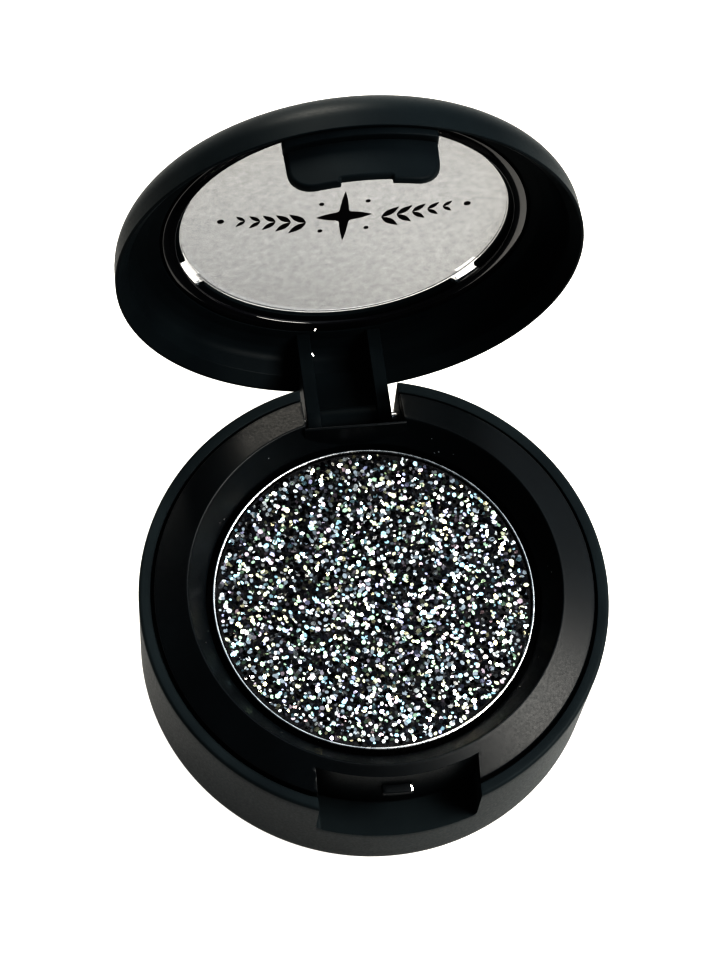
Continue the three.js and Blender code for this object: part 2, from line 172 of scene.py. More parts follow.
# ---------------------------------------------------------------- meshes
def new_object(name, mesh_builder):
    """An object of the closed mesh that a bmesh holds, with its faces out."""
    bmesh.ops.recalc_face_normals(mesh_builder, faces=mesh_builder.faces[:])
    mesh = bpy.data.meshes.new(name)
    mesh_builder.to_mesh(mesh)
    mesh_builder.free()
    obj = bpy.data.objects.new(name, mesh)
    bpy.context.scene.collection.objects.link(obj)
    return obj


def skin(bm, rings, closed):
    """Quads between rings of vertices, and triangles to a ring of one vertex."""
    pairs = list(zip(rings, rings[1:]))
    if closed:
        pairs.append((rings[-1], rings[0]))
    for low, high in pairs:
        count = max(len(low), len(high))
        for i in range(count):
            j = (i + 1) % count
            corners = []
            for ring_of, k in ((low, i), (low, j), (high, j), (high, i)):
                vertex = ring_of[k % len(ring_of)]
                if vertex not in corners:
                    corners.append(vertex)
            bm.faces.new(corners)


def lathe(name, profile, closed=False):
    """Turns (radius, height) points about Z. An open profile starts and ends on the axis."""
    bm = bmesh.new()
    rings = []
    for radius, height in profile:
        count = SEGMENTS if radius else 1
        angles = [2 * math.pi * (i + 0.5) / SEGMENTS for i in range(count)]
        rings.append([
            bm.verts.new((radius * math.sin(a), radius * math.cos(a), height)) for a in angles
        ])
    skin(bm, rings, closed)
    return new_object(name, bm)


def annulus(name, inner, outer, low, high, fillet=0.0):
    corner = (fillet,) if fillet else ()
    outline = [(r, z, *corner) for r, z in rectangle(inner, low, outer, high)]
    return lathe(name, rounded(outline, 3), closed=True)


def edit(obj, change):
    """Runs change() on an object's mesh, held as a bmesh."""
    bm = bmesh.new()
    bm.from_mesh(obj.data)
    change(bm)
    bm.to_mesh(obj.data)
    bm.free()


def sharp_edges(bm, degrees):
    return [e for e in bm.edges if e.calc_face_angle() > math.radians(degrees)]


def round_off(bm, edges, width, segments=3, **settings):
    bmesh.ops.bevel(
        bm, geom=edges, offset=width, segments=segments, profile=0.5, affect="EDGES", **settings
    )


def prism(name, outline, direction, start, end, bevel=0.0):
    """An outline pushed along X (drawn in Y, Z) or along Y (drawn in X, Z), with soft edges."""
    bm = bmesh.new()
    place = {
        "X": lambda u, v, t: (t, u, v),
        "Y": lambda u, v, t: (u, t, v),
    }[direction]
    ends = [[bm.verts.new(place(u, v, t)) for u, v in outline] for t in (start, end)]
    bm.faces.new(ends[0])
    bm.faces.new(ends[1][::-1])
    skin(bm, ends, False)
    if bevel:
        bmesh.ops.recalc_face_normals(bm, faces=bm.faces[:])
        round_off(bm, sharp_edges(bm, 30), bevel)
    return new_object(name, bm)


def block(name, low, high):
    return prism(name, rectangle(low[1], low[2], high[1], high[2]), "X", low[0], high[0])


def bar(name, radius, half, chamfer=0.0, steps=48):
    """A round bar along X through the hinge's pivot."""
    outline = arc(PIVOT_Y, PIVOT_Z, radius, 0, 360 - 360 / steps, steps - 1)
    obj = prism(name, outline, "X", -half, half)
    if chamfer:
        edit(obj, lambda bm: round_off(bm, sharp_edges(bm, 60), chamfer))
    return obj


def bend_to_radius(obj, radius, step=0.4):
    """Wraps a flat plate at Y = 0 (outside at -Y) round the compact's axis, keeping X and Z."""
    def wrap(bm):
        reach = max(abs(v.co.x) for v in bm.verts)
        count = int(2 * reach / step)
        for i in range(1, count):
            everything = bm.verts[:] + bm.edges[:] + bm.faces[:]
            cut = (reach * (2 * i / count - 1), 0, 0)
            bmesh.ops.bisect_plane(bm, geom=everything, dist=HAIR, plane_co=cut, plane_no=(1, 0, 0))
        for v in bm.verts:
            r = radius - v.co.y
            v.co.y = -math.sqrt(r * r - v.co.x * v.co.x)

    edit(obj, wrap)
    return obj


def bake(obj):
    """Applies an object's modifiers and closes the hairline slits that a boolean may leave."""
    graph = bpy.context.evaluated_depsgraph_get()
    mesh = bpy.data.meshes.new_from_object(obj.evaluated_get(graph), depsgraph=graph)
    obj.modifiers.clear()
    old, obj.data = obj.data, mesh
    bpy.data.meshes.remove(old)

    def mend(bm):
        bmesh.ops.remove_doubles(bm, verts=bm.verts[:], dist=SLIT)
        bmesh.ops.holes_fill(bm, edges=[e for e in bm.edges if e.is_boundary], sides=6)

    edit(obj, mend)


def combine(body, operation, *tools):
    """Joins tools to a body, or cuts them from it."""
    for tool in tools:
        modifier = body.modifiers.new(operation, "BOOLEAN")
        modifier.operation = operation
        modifier.solver = "EXACT"
        modifier.object = tool
        bake(body)
        bpy.data.objects.remove(tool)
    return body


def soften(obj, width, inside):
    """Rounds the outward edges whose middle satisfies inside()."""
    def change(bm):
        bmesh.ops.remove_doubles(bm, verts=bm.verts[:], dist=CRUMB)
        sharp = [
            e for e in bm.edges
            if len(e.link_faces) == 2
            and e.is_convex
            and e.calc_face_angle() > math.radians(40)
            and inside((e.verts[0].co + e.verts[1].co) / 2)
        ]
        round_off(bm, sharp, width, clamp_overlap=True)

    edit(obj, change)


def settle(obj, body, node, material, turned=False):
    """Scales a drawn piece to metres, turns the lid's open, shades it and puts it on its body."""
    place = Matrix.Scale(MM, 4) @ (OPEN_LID if turned else Matrix.Identity(4))
    obj.data.transform(place)
    for polygon in obj.data.polygons:
        polygon.use_smooth = True
    obj.data.set_sharp_from_angle(angle=SMOOTH_ANGLE)
    weighted = obj.modifiers.new("even_shading", "WEIGHTED_NORMAL")
    weighted.keep_sharp = True
    weighted.weight = 80  # 50 is neutral, and more favours large faces
    obj.data.materials.clear()
    obj.data.materials.append(material)
    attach(obj, body)
    if node:
        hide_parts(node)


# ---------------------------------------------------------------- materials
NOISE_LOW, NOISE_HIGH = 0.3, 0.7  # the range that most of a noise's values fall in


class Finish:
    """A material: its Principled shader, and helpers that add nodes. Lengths are in millimetres."""

    def __init__(self, name):
        self.material = bpy.data.materials.new(name)
        self.material.use_nodes = True
        self.tree = self.material.node_tree
        self.shader = next(n for n in self.tree.nodes if n.type == "BSDF_PRINCIPLED")
        self.place = self.tree.nodes.new("ShaderNodeTexCoord").outputs["Object"]

    def add(self, kind, inputs=(), **settings):
        """A new node; each of its inputs is linked to a socket or set to a value."""
        node = self.tree.nodes.new(kind)
        for key, value in settings.items():
            setattr(node, key, value)
        for key, value in dict(inputs).items():
            if isinstance(value, bpy.types.NodeSocket):
                self.tree.links.new(value, node.inputs[key])
            else:
                node.inputs[key].default_value = value
        return node

    def noise(self, size, detail=3, roughness=0.5, stretched=(1, 1, 1)):
        """Noise whose blotches are about size across."""
        place = self.place
        if stretched != (1, 1, 1):
            mapping = self.add("ShaderNodeMapping", {"Vector": place, "Scale": stretched})
            place = mapping.outputs["Vector"]
        return self.add("ShaderNodeTexNoise", {
            "Vector": place, "Scale": 1 / (size * MM), "Detail": detail, "Roughness": roughness,
        }).outputs["Fac"]

    def spread(self, factor, low, high):
        """Maps a noise to low..high."""
        return self.add("ShaderNodeMapRange", {
            "Value": factor,
            "From Min": NOISE_LOW,
            "From Max": NOISE_HIGH,
            "To Min": low,
            "To Max": high,
        }).outputs["Result"]

    def tint(self, factor, dark, light, stops=(NOISE_LOW, NOISE_HIGH)):
        """Maps a noise to dark..light."""
        ramp = self.add("ShaderNodeValToRGB", {"Fac": factor})
        for element, position, colour in zip(ramp.color_ramp.elements, stops, (dark, light)):
            element.position = position
            element.color = (*colour, 1)
        return ramp.outputs["Color"]

    def masked(self, factor, mask, base):
        """factor * mask + base"""
        terms = {0: factor, 1: mask, 2: base}
        return self.add("ShaderNodeMath", terms, operation="MULTIPLY_ADD").outputs["Value"]

    def link(self, name, socket):
        self.tree.links.new(socket, self.shader.inputs[name])

    def set(self, name, value):
        self.shader.inputs[name].default_value = value

    def colour(self, factor, dark, light, stops=(NOISE_LOW, NOISE_HIGH)):
        self.link("Base Color", self.tint(factor, dark, light, stops))

    def roughen(self, factor, low, high):
        self.link("Roughness", self.spread(factor, low, high))

    def bump(self, height, strength, distance):
        inputs = {"Height": height, "Strength": strength, "Distance": distance * MM}
        self.link("Normal", self.add("ShaderNodeBump", inputs).outputs["Normal"])


def moulded_plastic(name, dark, light, roughness, shine):
    """Satin moulded plastic: faint flow clouds and a fine spark-eroded grain."""
    grain = 0.045  # how far the roughness strays either way
    plastic = Finish(name)
    plastic.colour(plastic.noise(6, detail=4), dark, light)
    plastic.roughen(plastic.noise(0.22, detail=2), roughness - grain, roughness + grain)
    plastic.bump(plastic.noise(0.12, detail=2), strength=0.55, distance=0.004)
    plastic.set("IOR", 1.5)
    plastic.set("Specular IOR Level", shine)
    return plastic.material


def polished_plastic():
    plastic = Finish("polished_black")
    plastic.colour(plastic.noise(4), (0.004, 0.004, 0.005), (0.008, 0.008, 0.01))
    plastic.roughen(plastic.noise(1.2), 0.05, 0.1)
    plastic.bump(plastic.noise(2.5), strength=0.3, distance=0.01)
    return plastic.material


def clear_plastic():
    """Clear moulded pane, frosted where its faces say so."""
    pane = Finish("hazed_clear")
    clear = 0.06  # opacity and roughness where the pane isn't frosted
    frosted = pane.add("ShaderNodeAttribute", attribute_name="frosted").outputs["Fac"]
    haze = pane.noise(0.6, detail=4, roughness=0.6)
    pane.colour(haze, (0.048, 0.06, 0.077), (0.077, 0.092, 0.113))
    pane.link("Alpha", pane.masked(pane.spread(haze, 0.43, 0.51), frosted, clear))
    pane.link("Roughness", pane.masked(pane.spread(pane.noise(3), 0.4, 0.5), frosted, clear))
    pane.set("IOR", 1.49)
    return pane.material


def tinplate():
    sheet = Finish("bright_tinplate")
    sheet.colour(sheet.noise(0.8), (0.4, 0.405, 0.41), (0.62, 0.625, 0.63))
    sheet.roughen(sheet.noise(0.4), 0.2, 0.34)
    sheet.bump(sheet.noise(0.3), strength=0.3, distance=0.004)
    sheet.set("Metallic", 1)
    return sheet.material


def drawn_steel():
    """Wire with drawing lines along X."""
    wire = Finish("drawn_steel")
    lines = wire.noise(0.08, detail=2, stretched=(0.05, 1, 1))
    wire.colour(lines, (0.5, 0.5, 0.52), (0.72, 0.73, 0.75))
    wire.roughen(lines, 0.2, 0.32)
    wire.set("Metallic", 1)
    return wire.material


def glitter_binder():
    """Dark pressed powder between the flakes."""
    powder = Finish("glitter_binder")
    grains = powder.noise(0.14, roughness=0.7)
    powder.colour(grains, (0.002, 0.002, 0.0025), (0.016, 0.016, 0.019), stops=(0.42, 0.68))
    powder.roughen(grains, 0.75, 0.5)
    powder.bump(grains, strength=1.0, distance=0.05)
    powder.set("Specular IOR Level", 0.2)
    return powder.material


def glitter_foil():
    """Metallised flakes; each flake's own colour is stored on its face."""
    foil = Finish("glitter_foil")
    own = foil.add("ShaderNodeAttribute", attribute_name="flake_colour").outputs["Color"]
    mottle = foil.tint(foil.noise(0.15), (0.86, 0.86, 0.86), (1, 1, 1))
    mixed = foil.add("ShaderNodeMix", data_type="RGBA", blend_type="MULTIPLY")
    mixed.inputs["Factor"].default_value = 1
    foil.tree.links.new(own, mixed.inputs["A"])
    foil.tree.links.new(mottle, mixed.inputs["B"])
    foil.link("Base Color", mixed.outputs["Result"])
    foil.roughen(foil.noise(0.5), 0.16, 0.3)
    foil.set("Metallic", 1)
    return foil.material


def printing_ink():
    ink = Finish("printing_ink")
    ink.colour(ink.noise(0.4), (0.002, 0.0015, 0.002), (0.005, 0.004, 0.005))
    ink.roughen(ink.noise(0.2), 0.5, 0.65)
    ink.set("Specular IOR Level", 0.1)
    return ink.material


def cured_glue():
    glue = Finish("cured_glue")
    glue.colour(glue.noise(1.5), (0.62, 0.58, 0.48), (0.8, 0.77, 0.68))
    glue.roughen(glue.noise(0.8), 0.3, 0.5)
    return glue.material


def pale_card():
    """The floor: plain pale card, which glows a little so that it stays white in the shadow."""
    card = Finish("pale_card")
    card.colour(card.noise(0.6, detail=5), (0.36, 0.355, 0.345), (0.38, 0.375, 0.365))
    card.roughen(card.noise(0.3), 0.8, 0.9)
    card.set("Specular IOR Level", 0.2)
    card.set("Emission Color", (1, 0.98, 0.94, 1))
    card.set("Emission Strength", 0.66)
    return card.material


# ---------------------------------------------------------------- base
def base_shell(material):
    groove_in, groove_out, groove_depth = LABEL_GROOVE
    ring_in, ring_out, ring_top = SUPPORT_RING
    cup = lathe("base_moulding", rounded([
        (0, 0),
        (groove_in, 0, 0.08),
        (groove_in, groove_depth),
        (groove_out, groove_depth),
        (groove_out, 0, 0.08),
        (FOOT_R, 0, 0.6),
        *stretch((FOOT_R, 0), (OUTER_R, RIM_Z), 10),
        (OUTER_R, RIM_Z, 0.3),
        (RIM_INNER_R, RIM_Z, 0.1),
        (RIM_INNER_R, LEDGE_Z),
        (CUP_INNER_R, LEDGE_Z),
        (CUP_INNER_R, FLOOR_T),
        (ring_out, FLOOR_T),
        (ring_out, ring_top),
        (ring_in, ring_top),
        (ring_in, FLOOR_T),
        (0, FLOOR_T),
    ]))
    combine(cup, "UNION", notch_shelf(), notch_side(-1), notch_side(1))
    combine(cup, "DIFFERENCE", notch_cutter())
    combine(cup, "UNION", hinge_box())
    pin_hole = bar("pin_hole", PIN_R + PIN_PRESS_GAP, HINGE_HALF + CHEEK_T + 0.2, steps=HOLE_STEPS)
    combine(cup, "DIFFERENCE", hinge_cutter(), pin_hole)
    soften(cup, NOTCH_EDGE, lambda p: abs(p.x) < NOTCH_HALF + 1 and p.y < -17 and p.z > 5)
    soften(cup, CUT_EDGE, lambda p: abs(p.x) < HINGE_HALF + 1 and p.y > 16 and p.z > 9)
    settle(cup, "base", "base_shell", material)


def trimmed_ring(name, inner, outer, low, high, half, side=None):
    """The stretch of a ring round the front within half, or at one side between two half widths."""
    piece = annulus(name, inner, outer, low, high)
    edge = OUTER_R + 1
    left = -half if side is None else min(side * half[0], side * half[1])
    right = half if side is None else max(side * half[0], side * half[1])
    trim = block("trim", (left, -edge, low - 1), (right, NOTCH_REACH_Y, high + 1))
    return combine(piece, "INTERSECT", trim)


def notch_shelf():
    half = NOTCH_HALF + NOTCH_WALL
    low = NOTCH_FLOOR_Z - NOTCH_WALL
    return trimmed_ring("shelf", NOTCH_BACK_R - 3 * NOTCH_LAP, WALL_MIDDLE_R, low, NOTCH_FLOOR_Z, half)


def notch_side(side):
    """Solid cheek at one side of the notch."""
    return trimmed_ring(
        "cheek", NOTCH_BACK_R + NOTCH_LAP, WALL_MIDDLE_R - 0.05, NOTCH_FLOOR_Z - 0.1, LEDGE_Z - TUCK,
        (NOTCH_HALF - 1, NOTCH_HALF + NOTCH_WALL - 0.05), side,
    )


def notch_cutter():
    outline = rounded([
        (-NOTCH_HALF, NOTCH_FLOOR_Z, NOTCH_CORNER),
        (NOTCH_HALF, NOTCH_FLOOR_Z, NOTCH_CORNER),
        (NOTCH_HALF, CUT_TOP_Z),
        (-NOTCH_HALF, CUT_TOP_Z),
    ])
    return prism("notch", outline, "Y", -OUTER_R - OVERRUN, NOTCH_REACH_Y)


def hinge_box():
    half = HINGE_HALF + CHEEK_T
    low = (-half, CHORD_BACK_Y + 0.3, FLOOR_T - 0.4)
    body = block("hinge_box", low, (half, OUTER_R, LEDGE_Z - TUCK))
    return combine(body, "INTERSECT", annulus("trim", 1, WALL_MIDDLE_R - 0.03, 0, RIM_Z))


def hinge_cutter():
    outline = [
        (CHORD_BACK_Y, HINGE_FLOOR_Z),
        (STOP_Y, HINGE_FLOOR_Z),
        (STOP_Y, STOP_Z),
        (OUTER_R + OVERRUN, STOP_Z),
        (OUTER_R + OVERRUN, CUT_TOP_Z),
        (CHORD_BACK_Y, CUT_TOP_Z),
    ]
    return prism("hinge_slot", outline, "X", -HINGE_HALF, HINGE_HALF)


# ---------------------------------------------------------------- tray
def pan_tray(material):
    flange_low = LEDGE_Z + 0.3
    tray = lathe("tray_moulding", rounded([
        (0, TRAY_BOTTOM_Z),
        (TRAY_CUP_R, TRAY_BOTTOM_Z, 0.3),
        (TRAY_CUP_R, TRAY_NECK_Z),
        (CUP_INNER_R - 0.6, LEDGE_Z + 0.6),
        (CUP_INNER_R - 0.3, flange_low),
        (TRAY_R, flange_low, 0.1),
        (TRAY_R, TRAY_EDGE_Z, 0.12),
        *stretch((TRAY_R, TRAY_EDGE_Z), (WELL_R, WELL_Z), 9),
        (WELL_R, WELL_Z, 0.16),
        *stretch((WELL_R, WELL_Z), (SEAT_MOUTH_R, SEAT_TOP_Z), 9),
        (SEAT_MOUTH_R, SEAT_TOP_Z, 0.12),
        (SEAT_R, SEAT_FLOOR_Z),
        (0, SEAT_FLOOR_Z),
    ]))
    skirt = trimmed_ring(
        "skirt", TRAY_CUP_R - 0.2, NOTCH_BACK_R, NOTCH_FLOOR_Z + NOTCH_LAP, TRAY_NECK_Z,
        NOTCH_HALF + 3 * NOTCH_LAP,
    )
    combine(tray, "UNION", skirt)
    opening = block("notch", (-NOTCH_HALF, -OUTER_R, 0), (NOTCH_HALF, NOTCH_REACH_Y, WELL_Z + 1))
    combine(opening, "DIFFERENCE", annulus("keep", 1, NOTCH_BACK_R, -1, WELL_Z + 2))
    combine(tray, "DIFFERENCE", opening)
    combine(tray, "UNION", chord_wall())
    low = (-HINGE_HALF, CHORD_BACK_Y, 0)
    combine(tray, "DIFFERENCE", block("hinge_gap", low, (HINGE_HALF, OUTER_R, WELL_Z + 1)))
    combine(tray, "UNION", catch_nub())
    soften(tray, CUT_EDGE, lambda p: abs(p.x) < NOTCH_HALF + 0.5 and p.y < -14.6 and p.z > 11)
    soften(tray, CUT_EDGE, lambda p: abs(p.x) < HINGE_HALF + 1 and p.y > 13.5 and p.z > 11.2)
    settle(tray, "base", "pan_tray", material)


def chord_wall():
    """Flat wall of the well in front of the hinge arm."""
    half = HINGE_HALF + CHORD_END
    outline = rounded([
        (CHORD_FOOT_Y, SEAT_TOP_Z + TUCK),
        (CHORD_BACK_Y, SEAT_TOP_Z + TUCK),
        (CHORD_BACK_Y, WELL_Z - TUCK, 0.08),
        (CHORD_FRONT_Y, WELL_Z - TUCK, 0.12),
    ], 4)
    return prism("chord", outline, "X", -half, half)


def catch_nub():
    """Ledge at the notch's back that the lid's bead snaps under."""
    outline = rectangle(-CATCH["half"], CATCH["low"], CATCH["half"], CATCH["high"])
    depth = CATCH["tip_r"] - NOTCH_BACK_R + 0.3
    nub = prism("nub", outline, "Y", 0, depth, 0.14)
    return bend_to_radius(nub, CATCH["tip_r"])


# ---------------------------------------------------------------- pan
def metal_pan(material):
    pan = lathe("pan_pressing", rounded([
        (0, PAN_BOTTOM_Z),
        (PAN_R, PAN_BOTTOM_Z, 0.3),
        (PAN_R, PAN_RIM_Z, PAN_WALL * 0.48),
        (PAN_R - PAN_WALL, PAN_RIM_Z, PAN_WALL * 0.48),
        (PAN_R - PAN_WALL, PAN_BOTTOM_Z + PAN_WALL),
        (0, PAN_BOTTOM_Z + PAN_WALL),
    ]))
    settle(pan, "base", "metal_pan", material)


def pan_glue(material):
    """A pressed-out film of glue with a wavy edge."""
    draws = random.Random(4)
    waves = [(n, draws.uniform(0.05, 0.2), draws.uniform(0, 6.3)) for n in (3, 5, 8, 13)]
    bm = bmesh.new()
    rings = []
    profile = ((0, GLUE_LOW), (GLUE_R - 0.6, GLUE_LOW), (GLUE_R - 0.5, GLUE_HIGH), (0, GLUE_HIGH))
    for radius, height in profile:
        count = GLUE_SEGMENTS if radius else 1
        ring_points = []
        for i in range(count):
            angle = 2 * math.pi * i / count
            r = radius and radius + sum(size * math.sin(n * angle + start) for n, size, start in waves)
            ring_points.append(bm.verts.new((r * math.sin(angle), r * math.cos(angle), height)))
        rings.append(ring_points)
    skin(bm, rings, False)
    settle(new_object("glue_film", bm), "base", "pan_adhesive", material)


def glitter_bed(material):
    """The pressed binder, gently uneven on top. Gives the waves of its surface."""
    draws = random.Random(9)
    waves = [tuple(draws.uniform(*limits) for limits in WAVE_LIMITS) for _ in range(BED_WAVES)]
    bm = bmesh.new()
    radii = [FILL_R * (i / BED_RINGS) ** BED_CROWDING for i in range(BED_RINGS + 1)]
    profile = [(0, FILL_LOW), (FILL_R, FILL_LOW)] + [(r, None) for r in reversed(radii)]
    rings = []
    for radius, height in profile:
        count = BED_SEGMENTS if radius else 1
        ring_points = []
        for i in range(count):
            angle = 2 * math.pi * i / count
            x, y = radius * math.sin(angle), radius * math.cos(angle)
            z = height if height is not None else bed_height(x, y, waves)
            ring_points.append(bm.verts.new((x, y, z)))
        rings.append(ring_points)
    skin(bm, rings, False)
    settle(new_object("glitter_bed", bm), "base", "glitter_fill", material)
    return waves


def bed_height(x, y, waves):
    """Height of the pressed surface: a slight crown with low ripples."""
    crown = FILL_EDGE_Z + (FILL_CROWN_Z - FILL_EDGE_Z) * (1 - (math.hypot(x, y) / FILL_R) ** 2)
    ripples = sum(
        size * math.sin(rate * WAVE_RATE * (x * math.cos(heading) + y * math.sin(heading)) + start)
        for rate, heading, start, size in waves
    )
    return crown + WAVE_SIZE * ripples - BED_SINK


FLAKE_COLOURS = (  # share of the flakes, base colour
    (0.15, (0.95, 0.94, 0.91)),
    (0.16, (0.32, 0.34, 0.36)),
    (0.40, (0.02, 0.02, 0.024)),
    (0.08, (0.62, 0.86, 0.93)),
    (0.07, (0.72, 0.92, 0.68)),
    (0.08, (0.94, 0.89, 0.64)),
    (0.04, (0.93, 0.74, 0.8)),
    (0.04, (0.75, 0.72, 0.94)),
)
STRAY_IN_LID = (  # x, y, height above the lid's rim, radius, facing
    (-2.2, 17.15, 2.7, 0.1, (0.3, -0.85, -0.42)),
    (-2.08, 17.25, 2.58, 0.08, (0.2, -0.9, -0.4)),
    (-1.9, 14.5, 3.4, 0.07, (0.3, -0.85, -0.42)),
    (-1.96, 14.62, 3.4, 0.06, (0.35, -0.85, -0.4)),
)
FLAKE_SIDES = 6
FLAKE_ASPECT = (0.55, 1.0)  # a flake's width as a share of its length
FLAKE_RADII = (0.13, 0.16, 0.19, 0.22, 0.25)
FLAKE_PITCH, FLAKE_STRAY = 0.34, 0.14  # spacing, and how far each is thrown off its place
ROW_SHARE = 0.866  # spacing of the rows as a share of the pitch
FLAKE_LIFT = (0.03, 0.1)  # height of a flake's middle over the binder
FLAKE_LEAN, FLAKE_MOST_LEAN = 20, 45  # degrees
STRAY_COUNT, STRAY_LIFT = 16, 0.04  # on the well's wall
STRAY_RADII = (0.05, 0.09)
STRAY_PLACES = (0.08, 0.6)  # share of the way up the wall
STRAY_BEARINGS = (25, 335)  # degrees, which keeps clear of the flat wall at the hinge
STRAY_ON_CATCH = ((1.12, -16.78), (1.14, -16.6), (1.08, -16.42))  # x, y
CATCH_LIFT, CATCH_FLAKE_R = 0.06, 0.09
GLINT_FACING = (0.3, -0.3, 0.91)  # half way between the key light and the photograph's camera


def flake_colour(draws):
    pick = draws.random() * sum(share for share, _ in FLAKE_COLOURS)
    for share, colour in FLAKE_COLOURS:
        pick -= share
        if pick <= 0:
            break
    shade = draws.uniform(0.8, 1.0)
    return tuple(shade * channel for channel in colour)


def flake_object(name, flakes, material, body, turned=False):
    """One piece of flat flakes, each given as its centre, radius, normal and colour."""
    draws = random.Random(12)
    vertices, faces = [], []
    for centre, radius, normal, _ in flakes:
        turn = Matrix.Rotation(draws.uniform(0, math.pi), 3, normal)
        across = turn @ normal.orthogonal().normalized()
        along = normal.cross(across) * draws.uniform(*FLAKE_ASPECT)
        first = len(vertices)
        for k in range(FLAKE_SIDES):
            angle = 2 * math.pi * k / FLAKE_SIDES
            vertices.append(centre + radius * (math.cos(angle) * across + math.sin(angle) * along))
        faces.append(tuple(range(first, first + FLAKE_SIDES)))
    mesh = bpy.data.meshes.new(name)
    mesh.from_pydata(vertices, [], faces)
    layer = mesh.attributes.new("flake_colour", "FLOAT_COLOR", "FACE")
    for i, (_, _, _, colour) in enumerate(flakes):
        layer.data[i].color = (*colour, 1)
    obj = bpy.data.objects.new(name, mesh)
    bpy.context.scene.collection.objects.link(obj)
    obj.data.transform(Matrix.Scale(MM, 4) @ (OPEN_LID if turned else Matrix.Identity(4)))
    obj.data.materials.append(material)
    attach(obj, body)


def leaning(draws, spread_degrees, most_degrees):
    """A unit vector that leans from +Z by a random angle."""
    tilt = math.radians(min(abs(draws.gauss(0, spread_degrees)), most_degrees))
    heading = draws.uniform(0, 2 * math.pi)
    aside = math.sin(tilt)
    return Vector((aside * math.cos(heading), aside * math.sin(heading), math.cos(tilt)))


def glitter_flakes(material, waves):
    """Small irregular six-sided foil flakes, thrown at random and pressed nearly level."""
    draws = random.Random(8)
    flakes = []
    row_pitch = FLAKE_PITCH * ROW_SHARE
    rows = int(FILL_R / row_pitch) + 1
    columns = int(FILL_R / FLAKE_PITCH) + 1
    for row in range(-rows, rows + 1):
        for column in range(-columns, columns + 1):
            x = (column + 0.5 * (row % 2)) * FLAKE_PITCH + draws.uniform(-FLAKE_STRAY, FLAKE_STRAY)
            y = row * row_pitch + draws.uniform(-FLAKE_STRAY, FLAKE_STRAY)
            radius = draws.choice(FLAKE_RADII)
            if math.hypot(x, y) > FILL_R - radius:
                continue
            centre = Vector((x, y, bed_height(x, y, waves) + draws.uniform(*FLAKE_LIFT)))
            facing = leaning(draws, FLAKE_LEAN, FLAKE_MOST_LEAN)
            flakes.append((centre, radius, facing, flake_colour(draws)))
    flake_object("glitter_flakes", flakes, material, "base")


def stray_flakes(material):
    """A few loose flakes that cling to the well's wall, the catch and inside the lid."""
    draws = random.Random(5)
    wall_in = Vector((SEAT_MOUTH_R, SEAT_TOP_Z))
    wall_out = Vector((WELL_R, WELL_Z))
    slope = (wall_out - wall_in).normalized()
    silver = FLAKE_COLOURS[0][1]
    on_wall = []
    for _ in range(STRAY_COUNT):
        angle = math.radians(draws.uniform(*STRAY_BEARINGS))
        radius, height = wall_in.lerp(wall_out, draws.uniform(*STRAY_PLACES))
        outward = Vector((math.sin(angle), math.cos(angle), 0))
        normal = outward * -slope.y + Vector((0, 0, slope.x))
        centre = outward * radius + Vector((0, 0, height)) + normal * STRAY_LIFT
        lean = (normal + 0.25 * leaning(draws, 40, 80)).normalized()
        on_wall.append((centre, draws.uniform(*STRAY_RADII), lean, silver))
    height = CATCH["high"] + CATCH_LIFT
    on_catch = [
        (Vector((x, y, height)), CATCH_FLAKE_R, Vector(GLINT_FACING).normalized(), silver)
        for x, y in STRAY_ON_CATCH
    ]
    flake_object("stray_flakes_tray", on_wall + on_catch, material, "base")
    in_lid = [
        (Vector((x, y, LID_RIM_Z + d)), radius, Vector(facing).normalized(), silver)
        for x, y, d, radius, facing in STRAY_IN_LID
    ]
    flake_object("stray_flakes_lid", in_lid, material, "lid", turned=True)


# ---------------------------------------------------------------- lid
def lid_shell(material):
    dome_high = LID_TOP_D - DOME_CENTRE_D
    dome = [
        (DOME_CENTRE_R + DOME_HALF_R * cosine, DOME_CENTRE_D + dome_high * sine)
        for cosine, sine in arc(0, 0, 1, 0, 90, 20)
    ]
    outline = [  # radius, height above the rim, fillet
        (LIP_R, RING_SEAT_HIGH, 0.08),
        (RING_SEAT_R, RING_SEAT_HIGH),
        (RING_SEAT_R, RING_SEAT_LOW, 0.1),
        (16.1, 3.38, 0.9),
        (17, 3.05, 0.9),
        (17.7, 2.5, 1.2),
        (18, 0.9, 0.2),
        (18.85, 0, 0.12),
        (LID_R, 0, 0.08),
        *[(r, d) for r, d in dome if r > WINDOW_SEAT_R + 0.1],
        (WINDOW_SEAT_R, LID_TOP_D, 0.12),
        (WINDOW_SEAT_R, LIP_HIGH),
        (LIP_R, LIP_HIGH, 0.08),
    ]
    profile = [(r, LID_RIM_Z + d) for r, d in rounded(outline)]
    lid = lathe("lid_moulding", profile, closed=True)
    slot = CLIP_SLOT
    for angle, half in CLIPS:
        cutter = clip_block(
            "slot", angle, half + slot["gap"], slot["inner"], slot["outer"], slot["low"], LIP_HIGH + 0.05
        )
        combine(lid, "DIFFERENCE", cutter)
    combine(lid, "UNION", front_tab(), tab_shoulder(), tab_bead())
    barrel = bar("barrel", BARREL_R, RIB_INNER + 0.1)
    combine(lid, "UNION", hinge_rib(-1), hinge_rib(1), hinge_web(), barrel)
    combine(lid, "DIFFERENCE", bar("pin_hole", PIN_R + PIN_RUN_GAP, RIB_OUTER + 0.5, steps=HOLE_STEPS))
    settle(lid, "lid", "lid_shell", material, turned=True)


